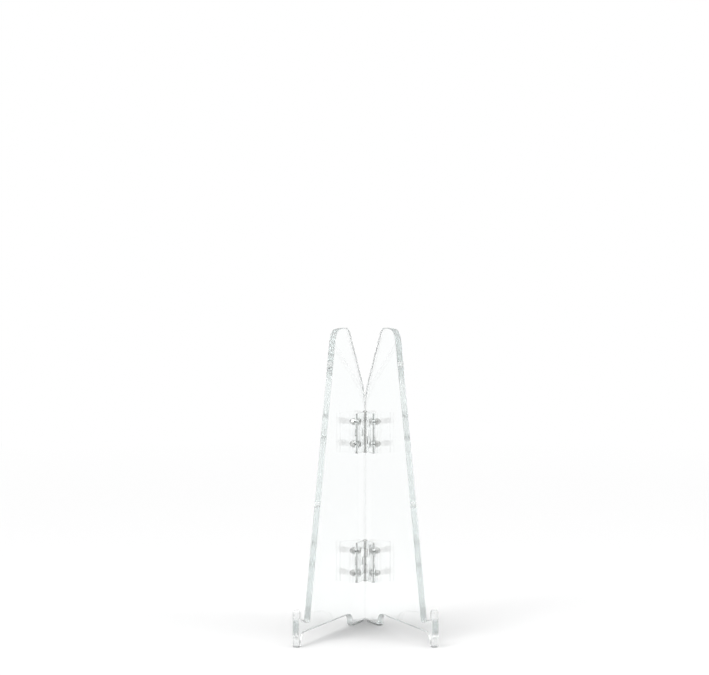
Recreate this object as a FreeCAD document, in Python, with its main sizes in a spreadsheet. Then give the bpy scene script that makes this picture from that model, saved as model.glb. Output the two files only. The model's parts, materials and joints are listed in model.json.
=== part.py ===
import FreeCAD, Part
import os
import re
import Sketcher

# Folding plate stand: two leaves of clear sheet that open like a book on two small hinges.
# Frame: millimetres, +X to the viewer's right, -Y to the front, +Z up. The origin lies on the
# table under the middle of the stand. Each leaf is drawn in a frame of its own, with x running
# from the hinge axis to the front, z up, and y across the sheet, and is then turned into place.

SIZES = {
    # whole stand
    "stand_height": 240,      # top of the uprights above the table
    "prong_spacing": 108,     # middle to middle of the two front prongs
    "splay": 20,              # degrees that each open leaf stands off the middle plane
    "sheet": 5,               # thickness of the clear sheet
    # leaf outline, with depths taken backwards from the prong's front
    "foot_pad": 1,            # thickness of the pads under the feet
    "prong_depth": 5.5,
    "prong_height": 29,
    "prong_round": 2.7,       # radius of the prong's tip
    "notch_front": 20.5,      # height of the notch floor at the prong
    "notch_rear": 16,         # height of the notch floor at the upright
    "notch_depth": 24.5,      # from the prong's front to the foot of the upright
    "notch_round": 2.5,
    "upright_round": 4,
    "crown_front": 84,        # front and rear corners of the upright's top
    "crown_rear": 114,
    "crown_round": 13,
    "spine_height": 182,      # straight rear edge that carries the hinges
    "spine_round": 55,
    "heel_round": 2,
    "arch_height": 10.2,      # cut-out between the front and rear feet
    "arch_round": 8.4,
    "rear_foot": 32,
    "tail": 10,               # sheet behind the hinge axis, which forms the stop
    "stop_gap": 0.03,         # each stop face to the middle plane
    # hinges
    "axis_gap": 2.5,          # hinge axis to a leaf's inner face
    "plate_gap": 0.15,        # hinge axis to a hinge plate's inner face
    "plate_depth": 17,
    "hinge_height": 32,
    "lower_hinge": 34,        # underside of each hinge above the table
    "upper_hinge": 138,
    "knuckles": 5,            # the two halves' knuckles along one pin
    "knuckle_radius": 2.2,
    "knuckle_gap": 0.3,
    "knuckle_relief": 2.8,    # the other half's plate starts this far from the axis
    "pin_radius": 1,
    "bore_radius": 1.05,      # running bore in the right halves
    "head_radius": 1.9,       # pin heads
    "head_top_radius": 1.3,
    "head_height": 1,
    # M2.5 countersunk screws, washers and cap nuts
    "screw_depth": 11,        # hinge axis to the screws, along the leaf
    "screw_pitch": 18,
    "screw_radius": 1.25,
    "screw_hole": 1.35,
    "sink_radius": 2.4,       # countersink at the hinge plate's face
    "sink_height": 1.15,
    "head_clearance": 0.05,   # a screw head to its countersink, and below the plate's face
    "screw_length": 11.1,
    "socket_radius": 0.85,
    "socket_depth": 0.7,
    "washer_radius": 3,
    "washer_height": 0.5,
    "nut_radius": 2.887,      # corners of a hexagon 5 across its flats
    "nut_height": 2.4,
    "nut_dome": 2.25,
    "nut_bore_depth": 3.7,
    # pads of clear silicone
    "rim_pad_length": 12,
    "rim_pad_width": 4.2,
    "rim_pad_height": 1,
    "rest_pad_radius": 2.4,
    "rest_pad_top": 1.7,
    "rest_pad_height": 1.5,
    "lower_rest": 0.4,        # places of the rest pads along the upright, 0 to 1
    "upper_rest": 0.88,
    "pad_inset": 0.3,
    "rear_pad_start": 4,      # how far the rear foot's pad reaches behind the hinge axis
    "rear_pad_length": 25,
    "overshoot": 1,           # how far a cut runs past the solid it is made in
}

# Sizes worked out from the driving ones, as formulas.
DERIVED = {
    "reach": "(prong_spacing / 2 - (axis_gap + sheet / 2) * cos(splay)) / sin(splay)",
    "front_extent": "reach * cos(splay) - axis_gap * sin(splay)",
    "rear_extent": "tail * cos(splay) + (axis_gap + sheet) * sin(splay)",
    "hinge_y": "(front_extent - rear_extent) / 2",
    "knuckle": "(hinge_height - (knuckles - 1) * knuckle_gap) / knuckles",
    "notch_slope": "atan((notch_front - notch_rear) / (notch_depth - prong_depth))",
    "upright_run": "crown_front - notch_depth",
    "upright_rise": "stand_height - notch_rear",
    "upright_lean": "atan(upright_run / upright_rise)",
    "head_face": "plate_gap + head_clearance",
    "screw_head": "sink_radius - head_clearance",
}

LEFT, RIGHT = -1, 1           # side of the middle plane, and of the leaf's own y
LEFT_KNUCKLES = (0, 2, 4)     # places along a hinge, counted from below
RIGHT_KNUCKLES = (1, 3)
TOO_CLOSE = 0.01              # lengths and volumes under this count as nought

# Leaf outline, front foot first and clockwise, as depth from the prong's front and height.
LEAF_CORNERS = [
    ("0", "foot_pad"),
    ("0", "prong_height"),
    ("prong_depth", "prong_height"),
    ("prong_depth", "notch_front"),
    ("notch_depth", "notch_rear"),
    ("crown_front", "stand_height"),
    ("crown_rear", "stand_height"),
    ("reach + tail", "spine_height"),
    ("reach + tail", "foot_pad"),
    ("reach + tail - rear_foot", "foot_pad"),
    ("reach + tail - rear_foot", "arch_height"),
    ("prong_depth", "arch_height"),
    ("prong_depth", "foot_pad"),
]
LEAF_ROUNDS = [
    ("prong_round", (1, 2)),
    ("notch_round", (3,)),
    ("upright_round", (4,)),
    ("crown_round", (5, 6)),
    ("spine_round", (7,)),
    ("heel_round", (8,)),
    ("arch_round", (10, 11)),
]

doc = FreeCAD.newDocument("plate_stand")


def make_sheet():
    sheet = doc.addObject("Spreadsheet::Sheet", "sizes")
    for row, (alias, number) in enumerate(SIZES.items(), start=1):
        sheet.set(f"A{row}", str(number))
        sheet.setAlias(f"A{row}", alias)
    doc.recompute()
    return sheet


def cell(formula):
    """Spell a formula in the sheet's aliases, with derived sizes written out."""

    def spell(match):
        word = match.group()
        if word in DERIVED:
            return f"({cell(DERIVED[word])})"
        return f"sizes.{word}" if word in SIZES else word

    return re.sub(r"[a-z][a-z_]*", spell, formula)


def value(formula):
    return float(sizes.evalExpression(cell(formula)))


def bind(obj, formulas):
    for path, formula in formulas.items():
        obj.setExpression(path, cell(formula))
    return obj


def name_part(obj, label, side):
    """Label a finished sub-part and turn it from its leaf's frame into the stand's."""
    obj.Label = label
    turn = FreeCAD.Rotation(FreeCAD.Vector(0, 0, 1), side * value("splay") - 90)
    obj.Placement = FreeCAD.Placement(FreeCAD.Vector(0, value("hinge_y"), 0), turn)
    sub_parts.append(obj)
    return obj


# ---- shapes from primitives, each placed and sized by formulas

def place(obj, x, y, z):
    return bind(obj, {"Placement.Base.x": x, "Placement.Base.y": y, "Placement.Base.z": z})


def box(x, y, z, length, width, height):
    block = doc.addObject("Part::Box", "block")
    bind(block, {"Length": length, "Width": width, "Height": height})
    return place(block, x, y, z)


def cylinder(x, y, z, radius, height):
    rod = doc.addObject("Part::Cylinder", "rod")
    bind(rod, {"Radius": radius, "Height": height})
    return place(rod, x, y, z)


def cone(x, y, z, low_radius, high_radius, height):
    taper = doc.addObject("Part::Cone", "taper")
    bind(taper, {"Radius1": low_radius, "Radius2": high_radius, "Height": height})
    return place(taper, x, y, z)


def hexagon(x, y, z, radius, height):
    prism = doc.addObject("Part::Prism", "hexagon")
    prism.Polygon = 6
    bind(prism, {"Circumradius": radius, "Height": height})
    return place(prism, x, y, z)


def ball(x, y, z, radius):
    sphere = doc.addObject("Part::Sphere", "ball")
    bind(sphere, {"Radius": radius})
    return place(sphere, x, y, z)


def fuse(shapes):
    joined = doc.addObject("Part::MultiFuse", "joined")
    joined.Shapes = shapes
    return joined


def cut(base, tools):
    left = doc.addObject("Part::Cut", "cut")
    left.Base = base
    left.Tool = tools[0] if len(tools) == 1 else fuse(tools)
    return left


def group(solids):
    compound = doc.addObject("Part::Compound", "group")
    compound.Links = solids
    return compound


def aim_outwards(obj, side):
    """Turn a shape made along +z so that it runs outwards across the sheet."""
    obj.Placement.Rotation = FreeCAD.Rotation(FreeCAD.Vector(1, 0, 0), -90 * side)
    return obj


def across(side, low, high):
    """Start and width, along a leaf's y, of what lies between two distances from the axis."""
    start = low if side == RIGHT else f"-({high})"
    return start, f"({high}) - ({low})"


# ---- sketches

def make_sketch(body, role, offset="0"):
    plane = next(item for item in body.Origin.OriginFeatures if item.Role == role)
    sketch = body.newObject("Sketcher::SketchObject", "sketch")
    sketch.AttachmentSupport = [(plane, "")]
    sketch.MapMode = "FlatFace"
    bind(sketch, {"AttachmentOffset.Base.z": offset})
    return sketch


def pin_down(sketch, item, vertex, name, formulas):
    for kind, formula in zip(("DistanceX", "DistanceY"), formulas):
        rule = Sketcher.Constraint(kind, -1, 1, item, vertex, value(formula))
        number = sketch.addConstraint(rule)
        sketch.renameConstraint(number, f"{name}_{kind}")
        bind(sketch, {f"Constraints.{name}_{kind}": formula})


def draw_polygon(sketch, corners):
    points = [FreeCAD.Vector(value(x), value(y), 0) for x, y in corners]
    count = len(points)
    for i in range(count):
        sketch.addGeometry(Part.LineSegment(points[i], points[(i + 1) % count]))
    for i in range(count):
        sketch.addConstraint(Sketcher.Constraint("Coincident", i, 2, (i + 1) % count, 1))
        pin_down(sketch, i, 1, f"corner{i}", corners[i])


def draw_circles(sketch, centres, radius):
    normal = FreeCAD.Vector(0, 0, 1)
    for i, centre in enumerate(centres):
        middle = FreeCAD.Vector(value(centre[0]), value(centre[1]), 0)
        sketch.addGeometry(Part.Circle(middle, normal, value(radius)))
        pin_down(sketch, i, 3, f"hole{i}", centre)
        number = sketch.addConstraint(Sketcher.Constraint("Radius", i, value(radius)))
        sketch.renameConstraint(number, f"size{i}")
        bind(sketch, {f"Constraints.size{i}": radius})


def pocket(body, sketch, midplane):
    """Cut a sketch right through the body, both ways or upwards only."""
    before = body.Shape.Volume
    hole = body.newObject("PartDesign::Pocket", "pocket")
    hole.Profile = sketch
    hole.Type = "ThroughAll"
    hole.Midplane = midplane
    hole.Reversed = not midplane
    doc.recompute()
    if body.Shape.Volume > before - TOO_CLOSE:
        raise RuntimeError(f"{body.Label}: a pocket cuts nothing")


def round_corners(body, radius, corners):
    """Fillet the edges that cross the sheet at the given corners."""
    base = body.Tip
    names = []
    for number, edge in enumerate(base.Shape.Edges, start=1):
        ends = [vertex.Point for vertex in edge.Vertexes]
        if len(ends) != 2 or (ends[0] - ends[1]).cross(FreeCAD.Vector(0, 1, 0)).Length > TOO_CLOSE:
            continue
        for x, z in corners:
            if abs(ends[0].x - value(x)) + abs(ends[0].z - value(z)) < TOO_CLOSE:
                names.append(f"Edge{number}")
    fillet = body.newObject("PartDesign::Fillet", "rounding")
    fillet.Base = (base, names)
    bind(fillet, {"Radius": radius})
    doc.recompute()
    if len(names) != len(corners):
        raise RuntimeError(f"{body.Label}: {len(names)} of {len(corners)} corners found")


# ---- sub-parts

def screw_heights():
    return [f"{low} + (hinge_height + {way} * screw_pitch) / 2"
            for low in ("lower_hinge", "upper_hinge") for way in (-1, 1)]


def make_leaf(label, side):
    """The clear sheet: prong, rim notch, leaning upright, hinge spine and two feet."""
    body = doc.addObject("PartDesign::Body", label)
    corners = [(f"reach - ({depth})", height) for depth, height in LEAF_CORNERS]
    outline = make_sketch(body, "XZ_Plane", f"{-side} * axis_gap")
    draw_polygon(outline, corners)
    blank = body.newObject("PartDesign::Pad", "blank")
    blank.Profile = outline
    blank.Reversed = side == RIGHT
    bind(blank, {"Length": "sheet"})
    doc.recompute()
    for radius, numbers in LEAF_ROUNDS:
        round_corners(body, radius, [corners[i] for i in numbers])
    # the stop: behind the hinge both leaves are bevelled to meet face to face when open
    stop = make_sketch(body, "XY_Plane")
    inner = "(axis_gap - overshoot)"
    behind = "(tail + overshoot)"
    draw_polygon(stop, [
        (f"(stop_gap - {inner} * cos(splay)) / sin(splay)", f"{side} * {inner}"),
        (f"-{behind}", f"{side} * {inner}"),
        (f"-{behind}", f"{side} * (stop_gap + {behind} * sin(splay)) / cos(splay)"),
    ])
    pocket(body, stop, midplane=False)
    holes = make_sketch(body, "XZ_Plane")
    draw_circles(holes, [("screw_depth", height) for height in screw_heights()], "screw_hole")
    pocket(body, holes, midplane=True)
    return name_part(body, label, side)


def make_foot(label, side, start, length):
    """A thin clear pad under one foot of a leaf."""
    y, width = across(side, "axis_gap + pad_inset", "axis_gap + sheet - pad_inset")
    pad = box(f"{start} + pad_inset", y, "0", f"{length} - 2 * pad_inset", width, "foot_pad")
    return name_part(group([pad]), label, side)


def make_rim_pad(label, side):
    """A clear strip on the sloping floor of the notch, where the rim sits."""
    strip = doc.addObject("Part::Box", "strip")
    bind(strip, {"Length": "rim_pad_length", "Width": "rim_pad_width", "Height": "rim_pad_height"})
    slope = -value("notch_slope")
    strip.Placement.Rotation = FreeCAD.Rotation(FreeCAD.Vector(0, 1, 0), slope)
    place(
        strip,
        "reach - (prong_depth + notch_depth) / 2 - rim_pad_length / 2 * cos(notch_slope)",
        f"{side} * (axis_gap + sheet / 2) - rim_pad_width / 2",
        "(notch_front + notch_rear) / 2 - rim_pad_length / 2 * sin(notch_slope)",
    )
    return name_part(group([strip]), label, side)


def make_rest_pads(label, side):
    """Two small clear bumpers on the upright's front edge, behind the plate."""
    pads = []
    for part in ("lower_rest", "upper_rest"):
        pad = cone(
            f"reach - notch_depth - {part} * upright_run",
            f"{side} * (axis_gap + sheet / 2)",
            f"notch_rear + {part} * upright_rise",
            "rest_pad_radius", "rest_pad_top", "rest_pad_height",
        )
        tilt = 90 - value("upright_lean")
        pad.Placement.Rotation = FreeCAD.Rotation(FreeCAD.Vector(0, 1, 0), tilt)
        pads.append(pad)
    return name_part(group(pads), label, side)


def make_hinge_half(label, side, low, others, bore):
    """Hinge plate with its knuckles, cut back where the other half has its own."""
    y, width = across(side, "plate_gap", "axis_gap")
    plate = box("0", y, low, "plate_depth", width, "hinge_height")
    barrel = cylinder("0", "0", low, "knuckle_radius", "hinge_height")
    tools = [cylinder("0", "0", f"{low} - overshoot", bore, "hinge_height + 2 * overshoot")]
    for i in others:
        start = f"{low} + {i} * (knuckle + knuckle_gap) - knuckle_gap"
        tools.append(box("-2 * knuckle_radius", "-2 * knuckle_radius", start,
                         "2 * knuckle_radius + knuckle_relief", "4 * knuckle_radius",
                         "knuckle + 2 * knuckle_gap"))
    for way in (-1, 1):
        height = f"{low} + (hinge_height + {way} * screw_pitch) / 2"
        sink = cone("screw_depth", f"{side} * plate_gap", height,
                    "sink_radius", "sink_radius - sink_height", "sink_height")
        hole = cylinder("screw_depth", "0", height, "screw_hole", "2 * axis_gap")
        tools += [aim_outwards(sink, side), aim_outwards(hole, side)]
    return name_part(cut(fuse([plate, barrel]), tools), label, side)


def make_pin(label, low):
    """Steel hinge pin with a tapered head at each end, fixed in the left half."""
    rod = cylinder("0", "0", low, "pin_radius", "hinge_height")
    top = cone("0", "0", f"{low} + hinge_height", "head_radius", "head_top_radius", "head_height")
    foot = cone("0", "0", f"{low} - head_height",
                "head_top_radius", "head_radius", "head_height")
    return name_part(fuse([rod, top, foot]), label, LEFT)


def make_screws(label, side):
    """Countersunk socket screws, heads flush in the hinge plates."""
    screws = []
    for height in screw_heights():
        y = f"{side} * head_face"
        head = cone("screw_depth", y, height, "screw_head", "screw_radius",
                    "screw_head - screw_radius")
        shank = cylinder("screw_depth", y, height, "screw_radius", "screw_length")
        socket = hexagon("screw_depth", y, height, "socket_radius", "socket_depth")
        for piece in (head, shank, socket):
            aim_outwards(piece, side)
        screws.append(cut(fuse([head, shank]), [socket]))
    return name_part(group(screws), label, side)


def make_washers(label, side):
    washers = []
    for height in screw_heights():
        y = f"{side} * (axis_gap + sheet)"
        disc = cylinder("screw_depth", y, height, "washer_radius", "washer_height")
        hole = cylinder("screw_depth", y, height, "screw_hole", "washer_height")
        washers.append(cut(aim_outwards(disc, side), [aim_outwards(hole, side)]))
    return name_part(group(washers), label, side)


def make_nuts(label, side):
    """Cap nuts on the leaf's outer face: a hexagon with a domed end and a blind bore."""
    nuts = []
    for height in screw_heights():
        seat = "(axis_gap + sheet + washer_height)"
        y = f"{side} * {seat}"
        body = hexagon("screw_depth", y, height, "nut_radius", "nut_height")
        dome = ball("screw_depth", f"{side} * ({seat} + nut_height)", height, "nut_dome")
        bore = cylinder("screw_depth", y, height, "screw_radius", "nut_bore_depth")
        for piece in (body, bore):
            aim_outwards(piece, side)
        nuts.append(cut(fuse([body, dome]), [bore]))
    return name_part(group(nuts), label, side)


def check_and_write():
    """Stop on any failed object or bad shape, then write each sub-part's STEP file."""
    doc.recompute()
    for obj in doc.Objects:
        if any(word in state for state in obj.State for word in ("Invalid", "Error")):
            raise RuntimeError(f"{obj.Name}: {obj.State}")
    for part in sub_parts:
        if part.Shape.isNull() or not part.Shape.isValid():
            raise RuntimeError(f"{part.Label}: bad shape")
    os.makedirs("parts", exist_ok=True)
    for part in sub_parts:
        part.Shape.exportStep(f"parts/{part.Label}.step")
        print(f"{part.Label}: {len(part.Shape.Solids)} solid(s), {part.Shape.Volume:.1f} mm3")


sizes = make_sheet()
sub_parts = []

for word, side in (("left", LEFT), ("right", RIGHT)):
    make_leaf(f"{word}_leaf", side)
    make_foot(f"{word}_front_foot", side, "reach - prong_depth", "prong_depth")
    make_foot(f"{word}_rear_foot", side, "-rear_pad_start", "rear_pad_length")
    make_rim_pad(f"{word}_rim_pad", side)
    make_rest_pads(f"{word}_rest_pads", side)
    make_screws(f"{word}_hinge_screws", side)
    make_washers(f"{word}_hinge_washers", side)
    make_nuts(f"{word}_hinge_nuts", side)
for level in ("lower", "upper"):
    low = f"{level}_hinge"
    make_hinge_half(f"{low}_left_half", LEFT, low, RIGHT_KNUCKLES, "pin_radius")
    make_hinge_half(f"{low}_right_half", RIGHT, low, LEFT_KNUCKLES, "bore_radius")
    make_pin(f"{low}_pin", low)

check_and_write()
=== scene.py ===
import json
import math
import bmesh
import bpy
import numpy as np
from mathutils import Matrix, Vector
from mathutils.geometry import tessellate_polygon


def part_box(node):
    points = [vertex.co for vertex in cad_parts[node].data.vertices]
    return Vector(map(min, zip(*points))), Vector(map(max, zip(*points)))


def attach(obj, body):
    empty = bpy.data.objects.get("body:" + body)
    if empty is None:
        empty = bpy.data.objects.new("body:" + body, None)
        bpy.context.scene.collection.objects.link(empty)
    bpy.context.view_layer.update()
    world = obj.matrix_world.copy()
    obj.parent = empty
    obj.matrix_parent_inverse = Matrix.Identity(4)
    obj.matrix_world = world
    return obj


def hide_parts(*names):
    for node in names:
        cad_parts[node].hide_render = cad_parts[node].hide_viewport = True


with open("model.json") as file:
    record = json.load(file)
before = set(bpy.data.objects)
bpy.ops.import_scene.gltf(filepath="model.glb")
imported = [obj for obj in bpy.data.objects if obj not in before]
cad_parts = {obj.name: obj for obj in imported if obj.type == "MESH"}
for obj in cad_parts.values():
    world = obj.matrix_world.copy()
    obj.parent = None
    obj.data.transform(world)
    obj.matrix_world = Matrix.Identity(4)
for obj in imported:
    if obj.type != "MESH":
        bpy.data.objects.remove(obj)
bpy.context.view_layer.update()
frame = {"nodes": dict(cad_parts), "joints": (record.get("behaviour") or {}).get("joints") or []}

# The two clear leaves open like a book. A leaf is worked out in millimetres in its own frame:
# u runs from the hinge axis to the front, w outwards across the sheet and z up.
mm = 0.001
fold = frame["joints"][0]
splay = math.radians(fold["range_deg"][1] / 2)
hingeY = fold["pos_m"][1] / mm
sides = {"left": -1, "right": 1}
sharpAngle = math.radians(14)


def toRow(side, points):
    # leaf frame to the stand's: the leaf's own direction turned out by the splay, then metres
    u, w, z = points[:, 0], points[:, 1], points[:, 2]
    x = side * (u * math.sin(splay) + w * math.cos(splay))
    y = hingeY - u * math.cos(splay) + w * math.sin(splay)
    return np.stack([x, y, z], axis=1) * mm


def makePiece(name, points, faces, material, body, slot, *nodes, own=None, rim=None):
    # One closed mesh from arrays of corners and faces, smooth except over real edges. It may carry
    # each corner's place in the piece's own frame, in millimetres, and how much of a cut edge it is.
    mesh = bpy.data.meshes.new(name)
    mesh.from_pydata(points.tolist(), [], faces)
    mesh.polygons.foreach_set("use_smooth", np.ones(len(mesh.polygons), dtype=bool))
    mesh.set_sharp_from_angle(angle=sharpAngle)
    mesh.materials.append(material)
    if own is not None:
        mesh.attributes.new("ownPlace", "FLOAT_VECTOR", "POINT").data.foreach_set("vector", own.ravel())
    if rim is not None:
        mesh.attributes.new("rim", "FLOAT", "POINT").data.foreach_set("value", rim)
    piece = bpy.data.objects.new(name, mesh)
    bpy.context.scene.collection.objects.link(piece)
    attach(piece, body)
    if nodes:
        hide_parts(*nodes)
    return piece


def gridQuads(rows, columns, wrapRows=True, wrapColumns=False, start=0):
    # quads of a grid of rows by columns, closed round either way where asked
    i = np.arange(rows if wrapRows else rows - 1)[:, None]
    j = np.arange(columns if wrapColumns else columns - 1)[None, :]
    nextRow, nextColumn = (i + 1) % rows, (j + 1) % columns
    corners = [i * columns + j, i * columns + nextColumn,
               nextRow * columns + nextColumn, nextRow * columns + j]
    return start + np.stack(corners, axis=-1).reshape(-1, 4)


def roundedLoop(corners, radii, stepAngle=5.0):
    # A closed outline: each corner of a polygon becomes an arc that touches both its sides.
    # Along an arc the outward normal turns evenly from one side's normal to the next one's.
    corners = np.array(corners, dtype=float)
    radii = list(radii)
    ahead = np.roll(corners, -1, axis=0)
    doubleArea = (corners[:, 0] * ahead[:, 1] - ahead[:, 0] * corners[:, 1]).sum()
    if doubleArea < 0:
        corners, radii = corners[::-1], radii[::-1]
    before = corners - np.roll(corners, 1, axis=0)
    after = np.roll(corners, -1, axis=0) - corners
    before /= np.linalg.norm(before, axis=1)[:, None]
    after /= np.linalg.norm(after, axis=1)[:, None]
    cross = before[:, 0] * after[:, 1] - before[:, 1] * after[:, 0]
    turning = np.arctan2(cross, (before * after).sum(1))
    points, normals = [], []
    for corner, way, turn, radius in zip(corners, before, turning, radii):
        first = corner - way * radius * math.tan(abs(turn) / 2)
        inward = np.array([-way[1], way[0]])
        centre = first + inward * math.copysign(radius, turn)
        count = max(2, int(math.ceil(abs(math.degrees(turn)) / stepAngle)) + 1)
        angle = np.linspace(0, turn, count)[:, None]
        spin = lambda v: np.cos(angle) * v + np.sin(angle) * np.array([-v[1], v[0]])
        points.append(centre + spin(first - centre))
        normals.append(-spin(inward))
    return np.concatenate(points), np.concatenate(normals)


def holeLoop(centre, radius, count=32):
    # a round hole's outline; its normals point to the hole's middle, away from the solid
    angle = -np.linspace(0, 2 * math.pi, count, endpoint=False)
    spoke = np.stack([np.cos(angle), np.sin(angle)], axis=1)
    return np.array(centre) + spoke * radius, -spoke


def cutLoop(loop, normals, level):
    # adds a point wherever an outline crosses u = level
    ahead = np.roll(loop, -1, axis=0)
    crossing = np.nonzero((loop[:, 0] - level) * (ahead[:, 0] - level) < 0)[0]
    share = ((level - loop[crossing, 0]) / (ahead[crossing, 0] - loop[crossing, 0]))[:, None]
    between = loop[crossing] * (1 - share) + ahead[crossing] * share
    aheadNormals = np.roll(normals, -1, axis=0)
    turned = normals[crossing] * (1 - share) + aheadNormals[crossing] * share
    turned /= np.linalg.norm(turned, axis=1)[:, None]
    return np.insert(loop, crossing + 1, between, axis=0), np.insert(normals, crossing + 1, turned, axis=0)


def edgeSection(rounding, strip, low, high, steps=8):
    # section of a sheet's edge: a strip of each face, a quarter round at each corner and the
    # flat between them, as distance inside the outline and height across the sheet
    t = np.linspace(0, math.pi / 2, steps + 1)
    inset = rounding * (1 - np.sin(t))
    rise = rounding * (1 - np.cos(t))
    inset = np.concatenate([[rounding + strip], inset, inset[::-1], [rounding + strip]])
    return inset, np.concatenate([[low], low + rise, high - rise[::-1], [high]])


def fillLoops(loops, indices, anticlockwise):
    # triangles between an outer outline and its holes, all turned the same way
    triangles = np.array(tessellate_polygon([[Vector((a, b, 0)) for a, b in loop] for loop in loops]))
    flat, index = np.concatenate(loops), np.concatenate(indices)
    a, b, c = (flat[triangles[:, k]] for k in range(3))
    area = (b[:, 0] - a[:, 0]) * (c[:, 1] - a[:, 1]) - (b[:, 1] - a[:, 1]) * (c[:, 0] - a[:, 0])
    wrong = (area > 0) != anticlockwise
    triangles[wrong] = triangles[wrong][:, ::-1]
    return index[triangles].tolist()


def sheetSolid(outline, holes, edge, holeEdge=None, splitAt=None):
    # A sheet with rounded edges: the edge section is carried along the outline and along each
    # hole, and the two faces are filled between the innermost rows, in two parts if split.
    # The third result is 1 on the cut edge and 0 on the two faces.
    points, faces, rims, shares = [], [], [], []
    start = 0
    for (loop, normals), (inset, height) in [(outline, edge)] + [(hole, holeEdge) for hole in holes]:
        flat = loop[:, None, :] - normals[:, None, :] * inset[None, :, None]
        across = np.broadcast_to(height[None, :, None], flat.shape[:2] + (1,))
        grid = np.concatenate([flat[..., :1], across, flat[..., 1:]], axis=-1)
        rows, columns = grid.shape[:2]
        faces += gridQuads(rows, columns, start=start).tolist()
        index = start + np.arange(rows * columns).reshape(rows, columns)
        rims.append((flat, index))
        share = np.ones((rows, columns))
        share[:, (0, -1)] = 0
        shares.append(share.ravel())
        points.append(grid.reshape(-1, 3))
        start += rows * columns
    for column, anticlockwise in ((0, True), (-1, False)):
        loops = [flat[:, column] for flat, index in rims]
        indices = [index[:, column] for flat, index in rims]
        if splitAt is None:
            faces += fillLoops(loops, indices, anticlockwise)
            continue
        at = outline[0][:, 0]
        for keep, inner in ((at >= splitAt - 1e-6, slice(1, None)), (at <= splitAt + 1e-6, slice(0, 0))):
            order = np.nonzero(keep)[0]
            gap = np.nonzero(np.diff(order) > 1)[0]
            order = np.roll(order, -(gap[0] + 1)) if len(gap) else order
            faces += fillLoops([loops[0][order]] + loops[inner], [indices[0][order]] + indices[inner],
                               anticlockwise)
    return np.concatenate(points), faces, np.concatenate(shares)


def hexagonRadius(angle, acrossFlats):
    # distance from the middle of a hexagon to its side in each direction
    sixth = math.pi / 3
    return acrossFlats / 2 / np.cos((angle % sixth) - sixth / 2)


def turnedSolid(rows, count):
    # A shape turned about its own axis. Each row is (radius, height), a radius being a number or
    # a function of the angle; rows run from one end of the axis to the other with the solid on
    # their left, and a row of radius nought closes that end.
    angle = np.linspace(0, 2 * math.pi, count, endpoint=False)
    radius = np.stack([r(angle) if callable(r) else np.full(count, float(r)) for r, h in rows], axis=1)
    height = np.stack([np.full(count, float(h)) for r, h in rows], axis=1)
    return ringSolid(radius, height, angle)


def ringSolid(radius, height, angle):
    # rings of points about an axis, joined into a closed skin with one point at each pole
    count, rows = radius.shape
    grid = np.stack([radius * np.cos(angle)[:, None], radius * np.sin(angle)[:, None], height], axis=-1)
    open0, open1 = radius[:, 0].max() > 1e-9, radius[:, -1].max() > 1e-9
    inner = grid[:, (0 if open0 else 1):(rows if open1 else rows - 1)]
    columns = inner.shape[1]
    faces = gridQuads(count, columns, wrapColumns=open0 and open1)[:, ::-1].tolist()
    points = [inner.reshape(-1, 3)]
    i = np.arange(count)
    following = (i + 1) % count
    total = count * columns
    if not open0:
        points.append(grid[:1, 0])
        pole = np.full(count, total)
        faces += np.stack([i * columns, following * columns, pole], axis=1)[:, ::-1].tolist()
        total += 1
    if not open1:
        points.append(grid[:1, -1])
        pole = np.full(count, total)
        last = columns - 1
        faces += np.stack([i * columns + last, following * columns + last, pole], axis=1).tolist()
    return np.concatenate(points), faces


def joined(parts):
    # several closed solids in one mesh
    points, faces, start = [], [], 0
    for corners, facets in parts:
        points.append(corners)
        faces += [[start + k for k in facet] for facet in facets]
        start += len(corners)
    return np.concatenate(points), faces


def facing(faces, side):
    # the left leaf mirrors the right one, so its faces are turned to point outwards again
    return faces if side > 0 else [face[::-1] for face in faces]


def placed(points, origin, first, second):
    # a shape's own three directions laid along two given ones and their cross product
    first, second = np.array(first, dtype=float), np.array(second, dtype=float)
    third = np.cross(first, second)
    return np.array(origin) + points[:, :1] * first + points[:, 1:2] * second + points[:, 2:] * third


def newMaterial(name):
    material = bpy.data.materials.new(name)
    material.use_nodes = True
    tree = material.node_tree
    return material, tree, tree.nodes["Principled BSDF"]


def addNode(tree, kind, settings=None, **sockets):
    node = tree.nodes.new(kind)
    for key, setting in (settings or {}).items():
        setattr(node, key, setting)
    for key, setting in sockets.items():
        node.inputs[key].default_value = setting
    return node


def addPlace(tree, source, stretch=(1, 1, 1)):
    # where a point is, in the stand's frame or the piece's own; a stretch of nought leaves that
    # direction out
    if source == "stand":
        place = addNode(tree, "ShaderNodeTexCoord").outputs["Object"]
    else:
        place = addNode(tree, "ShaderNodeAttribute", {"attribute_name": source}).outputs["Vector"]
    mapping = addNode(tree, "ShaderNodeMapping")
    mapping.inputs["Scale"].default_value = stretch
    tree.links.new(place, mapping.inputs["Vector"])
    return mapping.outputs["Vector"]


def addNoise(tree, place, scale, detail):
    noise = addNode(tree, "ShaderNodeTexNoise", Scale=scale, Detail=detail)
    tree.links.new(place, noise.inputs["Vector"])
    return noise.outputs["Fac"]


def addRange(tree, factor, low, high, start=0.0, end=1.0):
    # a factor between start and end becomes a value between low and high
    spread = addNode(tree, "ShaderNodeMapRange")
    for key, value in (("From Min", start), ("From Max", end), ("To Min", low), ("To Max", high)):
        spread.inputs[key].default_value = value
    tree.links.new(factor, spread.inputs["Value"])
    return spread.outputs["Result"]


def addMath(tree, operation, first, second):
    node = addNode(tree, "ShaderNodeMath", {"operation": operation})
    for socket, value in zip(node.inputs, (first, second)):
        if isinstance(value, float):
            socket.default_value = value
        else:
            tree.links.new(value, socket)
    return node.outputs["Value"]


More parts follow.
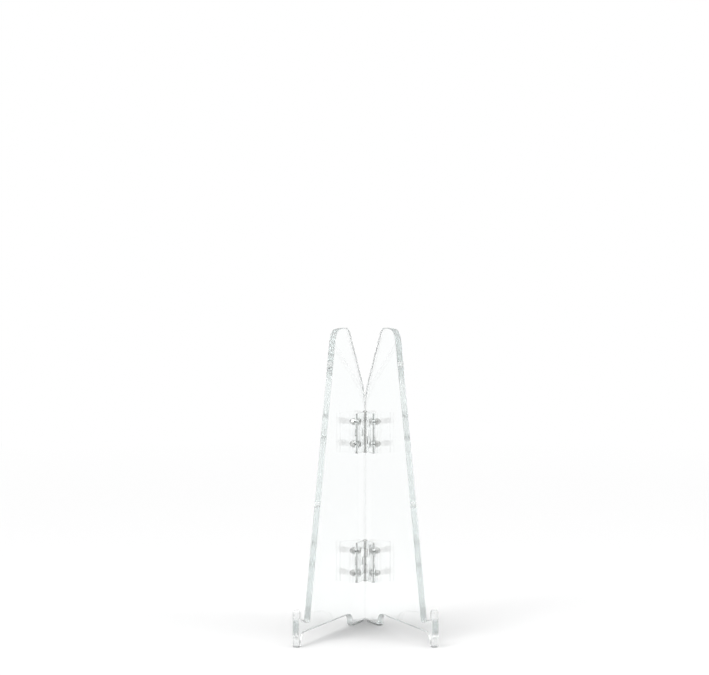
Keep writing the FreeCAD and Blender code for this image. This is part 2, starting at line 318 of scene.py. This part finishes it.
def addBumps(tree, shader, *heights):
    # fine relief laid one on another, each a height and what it is multiplied by in metres
    before = None
    for height, depth in heights:
        bump = addNode(tree, "ShaderNodeBump", Strength=1.0, Distance=depth)
        tree.links.new(height, bump.inputs["Height"])
        if before:
            tree.links.new(before.outputs["Normal"], bump.inputs["Normal"])
        before = bump
    tree.links.new(before.outputs["Normal"], shader.inputs["Normal"])


acrylicLook = {
    "tint": (0.988, 0.996, 0.994, 1), "index": 1.491,
    "depthColour": (0.50, 0.80, 0.765, 1), "depthDensity": 2.4,  # a long way through is faintly green
    # the faces, clean and where handled
    "polished": 0.006, "smudged": 0.035, "smudgeScale": 38.0, "smudgeRange": (0.45, 0.75),
    "cut": 0.26, "cloudy": 0.24,  # the cut edges are smoothed, not polished, and a little white
    # scratches within that height of the floor
    "scuffed": 0.12, "scuffScale": 2.2, "scuffRange": (0.5, 0.62), "scuffReach": 5.0,
    "waveScale": 55.0, "waveHeight": 0.00002,
    "rippleScale": 0.42, "rippleHeight": 0.000007,  # the saw's slow ripple along an edge
    "lineScale": 3.5, "lineHeight": 0.0000015,  # and its fine lines across the sheet
}


def clearAcrylic():
    look = acrylicLook
    material, tree, shader = newMaterial("clearAcrylic")
    shader.inputs["Base Color"].default_value = look["tint"]
    shader.inputs["IOR"].default_value = look["index"]
    stand, alongEdge = addPlace(tree, "stand"), addPlace(tree, "ownPlace", (1, 0, 1))
    rim = addNode(tree, "ShaderNodeAttribute", {"attribute_name": "rim"}).outputs["Fac"]
    handled = addNoise(tree, stand, look["smudgeScale"], 4.0)
    smudges = addRange(tree, handled, look["polished"], look["smudged"], *look["smudgeRange"])
    tree.links.new(addRange(tree, rim, 1.0, 1.0 - look["cloudy"]), shader.inputs["Transmission Weight"])
    cut = addMath(tree, "MULTIPLY", rim, look["cut"])
    height = addNode(tree, "ShaderNodeSeparateXYZ")
    tree.links.new(stand, height.inputs["Vector"])
    near = addRange(tree, height.outputs["Z"], 1.0, 0.0, 0.0, look["scuffReach"] * mm)
    scratched = addNoise(tree, stand, look["scuffScale"] / mm, 3.0)
    scuffs = addRange(tree, scratched, 0.0, look["scuffed"], *look["scuffRange"])
    worn = addMath(tree, "ADD", addMath(tree, "MULTIPLY", near, scuffs), smudges)
    tree.links.new(addMath(tree, "MAXIMUM", worn, cut), shader.inputs["Roughness"])
    waves = addNoise(tree, stand, look["waveScale"], 2.0)
    ripple = addMath(tree, "MULTIPLY", addNoise(tree, alongEdge, look["rippleScale"], 1.0), rim)
    lines = addMath(tree, "MULTIPLY", addNoise(tree, alongEdge, look["lineScale"], 2.0), rim)
    addBumps(tree, shader, (waves, look["waveHeight"]), (ripple, look["rippleHeight"]),
             (lines, look["lineHeight"]))
    depth = addNode(tree, "ShaderNodeVolumeAbsorption",
                    Color=look["depthColour"], Density=look["depthDensity"])
    tree.links.new(depth.outputs["Volume"], tree.nodes["Material Output"].inputs["Volume"])
    return material


siliconeLook = {
    "tint": (0.95, 0.965, 0.96, 1), "index": 1.41, "through": 0.6,  # a little milky
    "clean": 0.24, "dusty": 0.45, "dustScale": 420.0, "dustRange": (0.35, 0.65),
    "grainScale": 1800.0, "grainHeight": 0.000006,
}


def clearSilicone():
    look = siliconeLook
    material, tree, shader = newMaterial("clearSilicone")
    shader.inputs["Base Color"].default_value = look["tint"]
    shader.inputs["Transmission Weight"].default_value = look["through"]
    shader.inputs["IOR"].default_value = look["index"]
    stand = addPlace(tree, "stand")
    dust = addNoise(tree, stand, look["dustScale"], 3.0)
    tree.links.new(addRange(tree, dust, look["clean"], look["dusty"], *look["dustRange"]),
                   shader.inputs["Roughness"])
    addBumps(tree, shader, (addNoise(tree, stand, look["grainScale"], 3.0), look["grainHeight"]))
    return material


steelLook = {
    "light": (0.56, 0.56, 0.55, 1), "dark": (0.40, 0.40, 0.39, 1), "low": 0.13, "high": 0.28,
    "patchScale": 900.0,
    "grooves": 2.6, "grooveWander": 0.6, "grooveHeight": 0.000012,  # turning marks round each piece's axis
}


def stainlessSteel():
    look = steelLook
    material, tree, shader = newMaterial("stainlessSteel")
    shader.inputs["Metallic"].default_value = 1.0
    patches = addNoise(tree, addPlace(tree, "stand"), look["patchScale"], 4.0)
    colour = addNode(tree, "ShaderNodeMix", {"data_type": "RGBA"})
    colour.inputs[6].default_value, colour.inputs[7].default_value = look["dark"], look["light"]
    tree.links.new(patches, colour.inputs[0])
    tree.links.new(colour.outputs[2], shader.inputs["Base Color"])
    tree.links.new(addRange(tree, patches, look["low"], look["high"]), shader.inputs["Roughness"])
    marks = addNode(tree, "ShaderNodeTexWave", {"wave_type": "RINGS", "rings_direction": "Z"},
                    Scale=look["grooves"], Distortion=look["grooveWander"], Detail=2.0)
    tree.links.new(addPlace(tree, "ownPlace"), marks.inputs["Vector"])
    addBumps(tree, shader, (marks.outputs["Fac"], look["grooveHeight"]))
    return material


acrylic, silicone, steel = clearAcrylic(), clearSilicone(), stainlessSteel()
print("stage: materials")

leafShape = {
    "sheet": 5.0, "axisGap": 2.5, "tail": 10.0, "stopGap": 0.03,
    "prongDepth": 5.5, "prongRound": 2.7, "notchFront": 20.5, "notchRear": 16.0, "notchDepth": 24.5,
    "notchRound": 2.5, "uprightRound": 4.0, "crownFront": 84.0, "crownRear": 114.0, "crownRound": 13.0,
    "spineHeight": 182.0, "spineRound": 55.0, "heelRound": 2.0, "archHeight": 10.2, "archRound": 8.4,
    "rearFoot": 32.0, "toeRound": 0.6, "prongHeight": 29.0,
    "edgeRound": 0.35, "faceStrip": 0.2, "holeRound": 0.12, "holeStrip": 0.2,
}
# where the screws are, and how far each fastener happens to be turned, in radians
fastening = {"depth": 11.0, "pitch": 18.0, "hole": 1.35, "turnEach": 0.9, "turnRight": 0.4}
touchGap = 0.02  # between two faces that rest on each other, so that both can be seen

outerGap = leafShape["axisGap"] + leafShape["sheet"]
# from the hinge's axis to the prongs' front, worked out from how far the leaf comes out sideways
reach = (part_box("right_leaf")[1].x / mm - outerGap * math.cos(splay)) / math.sin(splay)
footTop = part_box("left_front_foot")[1].z / mm
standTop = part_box("left_leaf")[1].z / mm
hingePins = ("lower_hinge_pin", "upper_hinge_pin")
hingeMiddles = [sum(corner.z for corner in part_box(pin)) / 2 / mm for pin in hingePins]
screwHeights = [middle + way * fastening["pitch"] / 2 for middle in hingeMiddles for way in (-1, 1)]


def leafOutline():
    s = leafShape
    heel = reach + s["tail"]
    corners = [
        (0, footTop, s["toeRound"]),
        (0, s["prongHeight"], s["prongRound"]),
        (s["prongDepth"], s["prongHeight"], s["prongRound"]),
        (s["prongDepth"], s["notchFront"], s["notchRound"]),
        (s["notchDepth"], s["notchRear"], s["uprightRound"]),
        (s["crownFront"], standTop, s["crownRound"]),
        (s["crownRear"], standTop, s["crownRound"]),
        (heel, s["spineHeight"], s["spineRound"]),
        (heel, footTop, s["heelRound"]),
        (heel - s["rearFoot"], footTop, s["toeRound"]),
        (heel - s["rearFoot"], s["archHeight"], s["archRound"]),
        (s["prongDepth"], s["archHeight"], s["archRound"]),
        (s["prongDepth"], footTop, s["toeRound"]),
    ]
    return roundedLoop([(reach - depth, height) for depth, height, radius in corners],
                       [radius for depth, height, radius in corners])


def makeLeaf(word, side):
    # the sheet stands between its inner and outer face; behind the hinge its inner face turns
    # to the middle plane, where the two leaves meet when the stand is open
    s = leafShape
    bevelStart = (s["stopGap"] - s["axisGap"] * math.cos(splay)) / math.sin(splay)
    outline = cutLoop(*leafOutline(), bevelStart)
    holes = [holeLoop((fastening["depth"], height), fastening["hole"]) for height in screwHeights]
    points, faces, rim = sheetSolid(
        outline, holes,
        edgeSection(s["edgeRound"], s["faceStrip"], s["axisGap"], outerGap),
        edgeSection(s["holeRound"], s["holeStrip"], s["axisGap"], outerGap, steps=3),
        bevelStart)
    stop = (s["stopGap"] - points[:, 0] * math.sin(splay)) / math.cos(splay)
    innerFace = np.maximum(stop, s["axisGap"])
    share = (outerGap - points[:, 1]) / s["sheet"]
    points[:, 1] = outerGap - share * (outerGap - innerFace)
    makePiece(f"{word}_clear_leaf", toRow(side, points), facing(faces, side), acrylic, f"{word}_side",
              "clear_acrylic", f"{word}_leaf", own=points, rim=rim)


for word, side in sides.items():
    makeLeaf(word, side)
print("stage: leaves")


# lengths in millimetres, and the last two in degrees
hingeShape = {"edgeRound": 0.13, "weld": 0.0005, "sliver": 0.06, "shortEdge": 0.35, "flat": 1, "sharp": 35}


def makeHingeHalf(node, word):
    # The moulded half, welded and then rounded along its long sharp edges, as the tool leaves
    # them. The short edges round its bores stay sharp.
    s = hingeShape
    source = frame["nodes"][node]
    sharp = math.radians(s["sharp"])
    form = bmesh.new()
    form.from_mesh(source.data)
    bmesh.ops.remove_doubles(form, verts=form.verts, dist=s["weld"] * mm)
    bmesh.ops.dissolve_limit(form, angle_limit=math.radians(s["flat"]), verts=form.verts, edges=form.edges)
    bmesh.ops.dissolve_degenerate(form, dist=s["sliver"] * mm, edges=form.edges)
    rounded = form.edges.layers.float.new("bevel_weight_edge")
    for edge in form.edges:
        long = edge.calc_length() > s["shortEdge"] * mm
        edge[rounded] = float(long and edge.calc_face_angle(0) > sharp)
    mesh = bpy.data.meshes.new(node)
    form.to_mesh(mesh)
    form.free()
    mesh.polygons.foreach_set("use_smooth", np.ones(len(mesh.polygons), dtype=bool))
    mesh.set_sharp_from_angle(angle=sharp)
    mesh.materials.clear()
    mesh.materials.append(acrylic)
    piece = bpy.data.objects.new(f"{node}_moulded", mesh)
    bpy.context.scene.collection.objects.link(piece)
    rounding = piece.modifiers.new("rounding", "BEVEL")
    rounding.width = s["edgeRound"] * mm
    rounding.segments = 3
    rounding.limit_method = "WEIGHT"
    rounding.use_clamp_overlap = False
    rounding.harden_normals = True
    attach(piece, f"{word}_side")
    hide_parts(node)


pinShape = {"radius": 1.0, "headRadius": 1.9, "headHeight": 1.0, "around": 32}


def makePin(level):
    # a plain rod with a domed head at each end; the head's outline is a quarter of an ellipse
    s = pinShape
    low, high = (corner.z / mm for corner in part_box(f"{level}_hinge_pin"))
    t = np.linspace(0, math.pi / 2, 9)
    dome = [(s["headRadius"] * math.sin(a), s["headHeight"] * math.cos(a)) for a in t]
    bottom = [(r, low + s["headHeight"] - h) for r, h in dome]
    top = [(r, high - s["headHeight"] + h) for r, h in dome[::-1]]
    shank = [(s["radius"], low + s["headHeight"]), (s["radius"], high - s["headHeight"])]
    points, faces = turnedSolid(bottom + shank + top, s["around"])
    makePiece(f"{level}_hinge_pin_steel", toRow(1, points), faces, steel,
              "left_side", "stainless_steel", f"{level}_hinge_pin", own=points)


for level in ("lower", "upper"):
    for word in sides:
        makeHingeHalf(f"{level}_hinge_{word}_half", word)
    makePin(level)
print("stage: hinges")

screwShape = {
    "face": 0.2, "headRadius": 2.33, "headEdge": 0.06, "radius": 1.25, "root": 1.0, "pitch": 0.45,
    "length": 11.1, "tip": 0.3, "rowsPerTurn": 6,
    "socket": 1.5, "socketDepth": 0.75, "socketPoint": 0.15, "socketFloor": 0.3, "socketRim": 0.08,
    "rimRound": 0.05, "neck": 0.2, "runOut": 0.2, "firstTurn": 0.1, "around": 36,
    "tipRound": [(0.95, 0.8), (0.8, 0.0)],  # shares of the root's radius and of the tip that is left
}


def threadRows(low, high, hand):
    # a thread's flank climbs and falls evenly once each pitch, and its crest turns as it climbs
    s = screwShape
    count = int((high - low) / s["pitch"] * s["rowsPerTurn"])

    def ring(height):
        def radius(angle):
            phase = (height / s["pitch"] - hand * angle / (2 * math.pi)) % 1
            return s["root"] + (s["radius"] - s["root"]) * (1 - np.abs(2 * phase - 1))
        return radius

    return [(ring(height), height) for height in np.linspace(low, high, count)]


def screwSolid(hand):
    # flush countersunk head with a hexagon socket, a short plain neck and a full thread
    s = screwShape
    socket = lambda angle: hexagonRadius(angle, s["socket"])
    wider = lambda angle: socket(angle) + s["socketRim"]
    floor, neck = s["socketDepth"], s["headEdge"] + s["headRadius"] - s["radius"]
    neckEnd = neck + s["neck"]
    threadStart = neckEnd + s["runOut"]
    rows = [
        (0, floor + s["socketPoint"]), (s["socketFloor"], floor), (socket, floor),
        (socket, s["socketRim"]), (wider, 0),
        (s["headRadius"] - s["rimRound"], 0), (s["headRadius"], s["headEdge"]),
        (s["radius"], neck), (s["radius"], neckEnd), (s["root"], threadStart),
    ]
    rows += threadRows(threadStart + s["firstTurn"], s["length"] - s["tip"], hand)
    rows += [(s["root"] * share, s["length"] - s["tip"] * left) for share, left in s["tipRound"]]
    return turnedSolid(rows + [(0, s["length"])], s["around"])


# the knee is how deep the middle of a softened corner is cut, as a share of its round
washerShape = {"hole": 1.35, "radius": 3.0, "height": 0.5, "round": 0.09, "knee": 0.3, "around": 48}


def washerSolid():
    # a flat ring; its section is a rectangle with cut corners, cut twice outside and once inside
    s = washerShape
    inner, outer, top, r = s["hole"], s["radius"], s["height"] - touchGap, s["round"]
    knee = s["knee"] * r
    return turnedSolid([
        (inner + r, 0), (outer - r, 0), (outer - knee, knee), (outer, r), (outer, top - r),
        (outer - knee, top - knee), (outer - r, top), (inner + r, top), (inner, top - r), (inner, r),
    ], s["around"])


nutShape = {
    "acrossFlats": 5.0, "face": 2.42, "height": 2.4, "dome": 2.25, "blunt": 0.05, "skirt": 0.12,
    "bore": 1.25, "boreDepth": 3.7, "boreCone": 0.4, "boreRim": 0.2, "cutBack": 0.27,
    "skirtRound": [(0.7, 0.0), (0.2, 1.0)],  # shares of the skirt, outwards and up
    "domeStart": 6, "around": 72,  # the dome begins that many degrees up, above the skirt
}


def nutSolid():
    # a hexagon whose corners are cut back at each end by a cone of 30 degrees, under a half ball
    s = nutShape
    corner = s["acrossFlats"] / math.sqrt(3) - s["blunt"]

    def ring(cone):
        return lambda angle: np.minimum(np.minimum(hexagonRadius(angle, s["acrossFlats"]), corner), cone)

    slope = math.sqrt(3)
    rises = np.linspace(0, s["cutBack"], 5)
    rows = [(0, s["boreDepth"]), (s["bore"], s["boreDepth"] - s["boreCone"])]
    rows += [(s["bore"], s["boreRim"]), (s["bore"] + s["boreRim"], 0)]
    rows += [(ring(s["face"] + slope * rise), rise) for rise in rises]
    rows += [(ring(s["face"] + slope * rise), s["height"] - rise) for rise in rises[::-1]]
    rows += [(s["dome"] + s["skirt"] * out, s["height"] + s["skirt"] * up) for out, up in s["skirtRound"]]
    t = np.linspace(math.radians(s["domeStart"]), math.pi / 2, 12)
    rows += [(s["dome"] * math.cos(a), s["height"] + s["dome"] * math.sin(a)) for a in t[1:-1]]
    rows += [(0, s["height"] + s["dome"])]
    return turnedSolid(rows, s["around"])


def fastenLeaf(word, side):
    # each screw's axis crosses the sheet outwards; nuts are turned a little differently, as by hand
    outwards = ((0, 0, 1), (1, 0, 0))
    kinds = [
        ("screws", screwSolid(side), screwShape["face"]),
        ("washers", washerSolid(), outerGap + touchGap),
        ("nuts", nutSolid(), outerGap + washerShape["height"]),
    ]
    for kind, (points, faces), start in kinds:
        parts, own = [], []
        for number, height in enumerate(screwHeights):
            turn = fastening["turnEach"] * number + (fastening["turnRight"] if side > 0 else 0)
            c, n = math.cos(turn), math.sin(turn)
            a, b, h = points.T
            spun = np.stack([a * c - b * n, a * n + b * c, h], axis=1)
            parts.append((placed(spun, (fastening["depth"], start, height), *outwards), faces))
            own.append(spun)
        allPoints, allFaces = joined(parts)
        makePiece(f"{word}_steel_{kind}", toRow(side, allPoints), facing(allFaces, side), steel,
                  f"{word}_side", "stainless_steel", f"{word}_hinge_{kind}", own=np.concatenate(own))


for word, side in sides.items():
    fastenLeaf(word, side)
print("stage: fasteners")

padShape = {
    "middle": 5.0, "width": 4.4, "rimLength": 12.0, "rimWidth": 4.2, "rimHeight": 1.0, "edgeRound": 0.28,
    "cornerRound": 0.7, "faceStrip": 0.2, "frontInset": 0.6, "rearMiddle": 8.5, "rearLength": 24.4,
    "bumperRadius": 2.4, "bumperHeight": 1.5, "bumperSkirt": 0.3, "bumperEdge": 0.1, "fullness": 0.8,
    "bumperAround": 40,
    "rests": (0.4, 0.88),  # how far up the front edge the two bumpers are
}


def padSolid(length, width, height):
    # a small block with rounded corners in plan and softly rounded edges
    s = padShape
    a, b = length / 2, width / 2
    loop = roundedLoop([(-a, -b), (a, -b), (a, b), (-a, b)], [s["cornerRound"]] * 4, stepAngle=15)
    edge = edgeSection(s["edgeRound"], s["faceStrip"], 0, height, steps=4)
    return sheetSolid(loop, [], edge)[:2]


def bumperSolid():
    # A stick-on bumper: a short skirt under a dome whose radius is a power of the cosine, so that
    # it is fuller than half an ellipse.
    s = padShape
    t = np.linspace(0, math.pi / 2, 14)
    skirt, rise = s["bumperSkirt"], s["bumperHeight"] - s["bumperSkirt"]
    radius, edge = s["bumperRadius"], s["bumperEdge"]
    dome = [(radius * math.cos(a) ** s["fullness"], skirt + rise * math.sin(a)) for a in t[:-1]]
    foot = [(0, 0), (radius - edge, 0), (radius, edge)]
    return turnedSolid(foot + dome + [(0, s["bumperHeight"])], s["bumperAround"])


def padLeaf(word, side):
    s, leaf = padShape, leafShape
    level = ((1, 0, 0), (0, 0, 1))
    spots = {
        "front": (reach - leaf["prongDepth"] / 2, leaf["prongDepth"] - s["frontInset"]),
        "rear": (s["rearMiddle"], s["rearLength"]),
    }
    for end, (middle, length) in spots.items():
        points, faces = padSolid(length, s["width"], footTop - touchGap)
        points = placed(points, (middle, s["middle"], 0), *level)
        makePiece(f"{word}_{end}_foot_pad", toRow(side, points), facing(faces, side), silicone,
                  f"{word}_side", "clear_silicone", f"{word}_{end}_foot")
    slope = math.atan2(leaf["notchFront"] - leaf["notchRear"], leaf["notchDepth"] - leaf["prongDepth"])
    along, up = (math.cos(slope), 0, math.sin(slope)), (-math.sin(slope), 0, math.cos(slope))
    points, faces = padSolid(s["rimLength"], s["rimWidth"], s["rimHeight"])
    origin = (reach - (leaf["prongDepth"] + leaf["notchDepth"]) / 2, s["middle"],
              (leaf["notchFront"] + leaf["notchRear"]) / 2 + touchGap)
    points = placed(points, origin, along, up)
    makePiece(f"{word}_rim_strip", toRow(side, points), facing(faces, side), silicone,
              f"{word}_side", "clear_silicone", f"{word}_rim_pad")
    run, rise = leaf["crownFront"] - leaf["notchDepth"], standTop - leaf["notchRear"]
    lean = math.atan2(run, rise)
    points, faces = bumperSolid()
    parts = []
    for share in s["rests"]:
        origin = (reach - leaf["notchDepth"] - share * run + touchGap, s["middle"],
                  leaf["notchRear"] + share * rise)
        parts.append((placed(points, origin, (0, 1, 0), (-math.sin(lean), 0, math.cos(lean))), faces))
    allPoints, allFaces = joined(parts)
    makePiece(f"{word}_rest_bumpers", toRow(side, allPoints), facing(allFaces, side), silicone,
              f"{word}_side", "clear_silicone", f"{word}_rest_pads")


for word, side in sides.items():
    padLeaf(word, side)
print("stage: pads")

studio = {
    "floorSize": 30.0, "footGap": 0.05, "floorColour": (0.75, 0.75, 0.75, 1), "floorRough": 0.6,
    "floorShine": 0.2, "lightTurns": 32,
    "floorNear": 0.3, "floorFar": 1.5,  # where its fade into the white room starts and ends, in metres
    # how bright the room is, from the horizon at 0 to overhead at 1
    "room": [(0.0, 1.0), (0.10, 1.0), (0.24, 0.40), (0.6, 0.28), (0.76, 1.4), (1.0, 1.4)],
    "sun": {"towards": (0.12, 0.1, -1.0), "strength": 1.0, "spread": 45},
    "lightAim": (0, 0, 0.1),
    "softboxes": {
        "keyLight": {"place": (-1.2, -1.2, 1.6), "size": (1.0, 1.0), "power": 12},
        "fillLight": {"place": (1.5, -0.6, 1.2), "size": (0.8, 1.2), "power": 6},
    },
}


def makeFloor():
    # white paper that fades into the room, so that no horizon shows
    half = studio["floorSize"] / 2
    mesh = bpy.data.meshes.new("floor")
    under = -studio["footGap"] * mm
    corners = [(-half, -half, under), (half, -half, under), (half, half, under), (-half, half, under)]
    mesh.from_pydata(corners, [], [(0, 1, 2, 3)])
    floor = bpy.data.objects.new("floor", mesh)
    bpy.context.scene.collection.objects.link(floor)
    material, tree, shader = newMaterial("floorPaper")
    shader.inputs["Base Color"].default_value = studio["floorColour"]
    shader.inputs["Roughness"].default_value = studio["floorRough"]
    shader.inputs["Specular IOR Level"].default_value = studio["floorShine"]
    away = addNode(tree, "ShaderNodeVectorMath", {"operation": "LENGTH"})
    tree.links.new(addPlace(tree, "stand"), away.inputs[0])
    fade = addRange(tree, away.outputs["Value"], 0.0, 1.0, studio["floorNear"], studio["floorFar"])
    glow = addNode(tree, "ShaderNodeEmission", Strength=1.0)
    blend = addNode(tree, "ShaderNodeMixShader")
    for start, end in ((fade, 0), (shader.outputs["BSDF"], 1), (glow.outputs["Emission"], 2)):
        tree.links.new(start, blend.inputs[end])
    tree.links.new(blend.outputs["Shader"], tree.nodes["Material Output"].inputs["Surface"])
    mesh.materials.append(material)


def makeRoom():
    # white round the horizon, darker above it and bright overhead, as in a room of soft boxes
    world = bpy.data.worlds.new("studio")
    bpy.context.scene.world = world
    world.use_nodes = True
    tree = world.node_tree
    place, split = addNode(tree, "ShaderNodeTexCoord"), addNode(tree, "ShaderNodeSeparateXYZ")
    ramp = addNode(tree, "ShaderNodeValToRGB")
    levels = studio["room"]
    for position, level in levels[1:-1]:
        ramp.color_ramp.elements.new(position)
    for element, (position, level) in zip(ramp.color_ramp.elements, levels):
        element.position, element.color = position, (level, level, level, 1)
    tree.links.new(place.outputs["Generated"], split.inputs["Vector"])
    tree.links.new(split.outputs["Z"], ramp.inputs["Fac"])
    tree.links.new(ramp.outputs["Color"], tree.nodes["Background"].inputs["Color"])


def addLight(name, kind, energy, towards, place=(0, 0, 0)):
    light = bpy.data.lights.new(name, kind)
    light.energy = energy
    lamp = bpy.data.objects.new(name, light)
    bpy.context.scene.collection.objects.link(lamp)
    lamp.location = place
    lamp.rotation_euler = Vector(towards).to_track_quat("-Z", "Y").to_euler()
    return light


def lightStudio():
    for name, box in studio["softboxes"].items():
        towards = Vector(studio["lightAim"]) - Vector(box["place"])
        light = addLight(name, "AREA", box["power"], towards, box["place"])
        light.shape = "RECTANGLE"
        light.size, light.size_y = box["size"]
    sun = studio["sun"]
    addLight("overheadLight", "SUN", sun["strength"], sun["towards"]).angle = math.radians(sun["spread"])


# The stand is seen nearly level from the front, low and a little right of the frame's middle.
# The frame is that wide and the offsets are that long where the front feet stand.
cameraPlan = {
    "distance": 3.0, "elevation": 4.3, "frameWidth": 0.5473, "standRight": 0.0085, "standBelow": 0.239,
}


def makeCamera():
    plan = cameraPlan
    tilt = math.radians(plan["elevation"])
    forward = Vector((0, math.cos(tilt), -math.sin(tilt)))
    up = Vector((0, math.sin(tilt), math.cos(tilt)))
    low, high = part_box("left_front_foot")
    foot = Vector((0, (low.y + high.y) / 2, 0))
    data = bpy.data.cameras.new("camera")
    data.lens = data.sensor_width * plan["distance"] / plan["frameWidth"]
    camera = bpy.data.objects.new("camera", data)
    bpy.context.scene.collection.objects.link(camera)
    back, rise = forward * plan["distance"], up * plan["standBelow"]
    camera.location = foot - back + rise - Vector((plan["standRight"], 0, 0))
    camera.rotation_euler = (math.pi / 2 - tilt, 0, 0)
    bpy.context.scene.camera = camera


def followLight():
    # light runs through a clear sheet edgeways in many small reflections, and each is followed
    paths = bpy.context.scene.cycles
    paths.max_bounces = paths.glossy_bounces = paths.transmission_bounces = studio["lightTurns"]


makeFloor()
makeRoom()
lightStudio()
makeCamera()
followLight()
bpy.context.scene.view_settings.view_transform = "Standard"
print("stage: studio")
